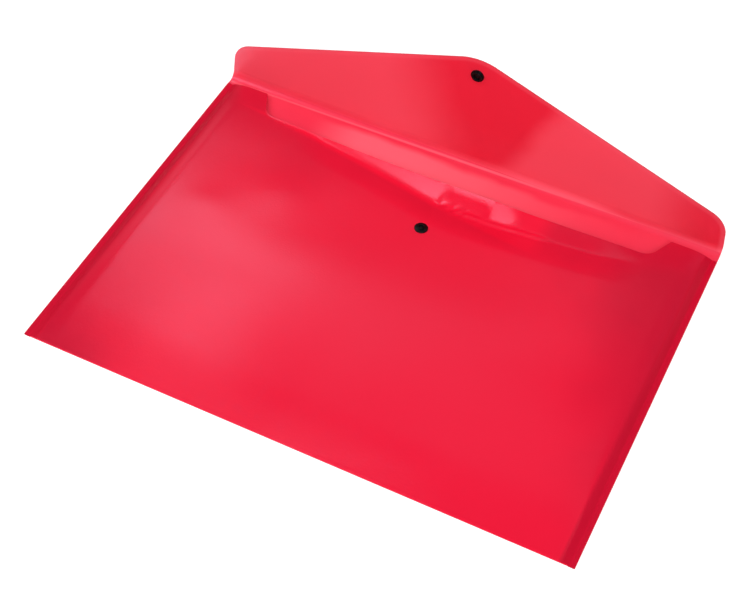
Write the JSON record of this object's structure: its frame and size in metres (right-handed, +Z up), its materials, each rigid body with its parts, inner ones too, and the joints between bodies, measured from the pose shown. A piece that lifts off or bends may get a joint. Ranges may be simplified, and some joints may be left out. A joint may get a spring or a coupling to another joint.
{
  "type": "document wallet",
  "caption": "Flat plastic document wallet: a welded pocket with a recessed mouth and an envelope flap on a double score, closed by a snap.",
  "frame": {"origin": "middle of the back panel's underside, on the surface the wallet lies on", "axes": "+X along the wallet's width, +Y from the bottom fold to the flap's crease, +Z up out of the front panel"},
  "size_m": [0.335, 0.2466, 0.084],
  "materials": {
    "red_sheet": "dense red polypropylene sheet with a fine orange-peel gloss",
    "black_snap": "black moulded plastic, satin to gloss"
  },
  "bodies": {
    "pocket": {"back_panel": "red_sheet", "front_panel": "red_sheet", "bottom_fold": "red_sheet", "left_side_weld": "red_sheet", "right_side_weld": "red_sheet", "pocket_snap_cap": "black_snap", "pocket_snap_stud": "black_snap"},
    "crease": {"crease_strip": "red_sheet"},
    "flap": {"flap": "red_sheet", "flap_snap_cap": "black_snap", "flap_snap_socket": "black_snap"}
  },
  "joints": [
    {"name": "lower_score", "type": "hinge", "parent": "pocket", "child": "crease", "pos_m": [0, 0.121, 0.00015], "axis": [1, 0, 0], "range_deg": [-44.6, 43.45], "stiffness_Nm_per_rad": 0.03},
    {"name": "upper_score", "type": "hinge", "parent": "crease", "child": "flap", "pos_m": [0, 0.12454, 0.00369], "axis": [1, 0, 0], "range_deg": [-44.6, 43.45]}
  ],
  "couplings": [
    {"joint": "upper_score", "follows": "lower_score", "ratio": 1}
  ]
}
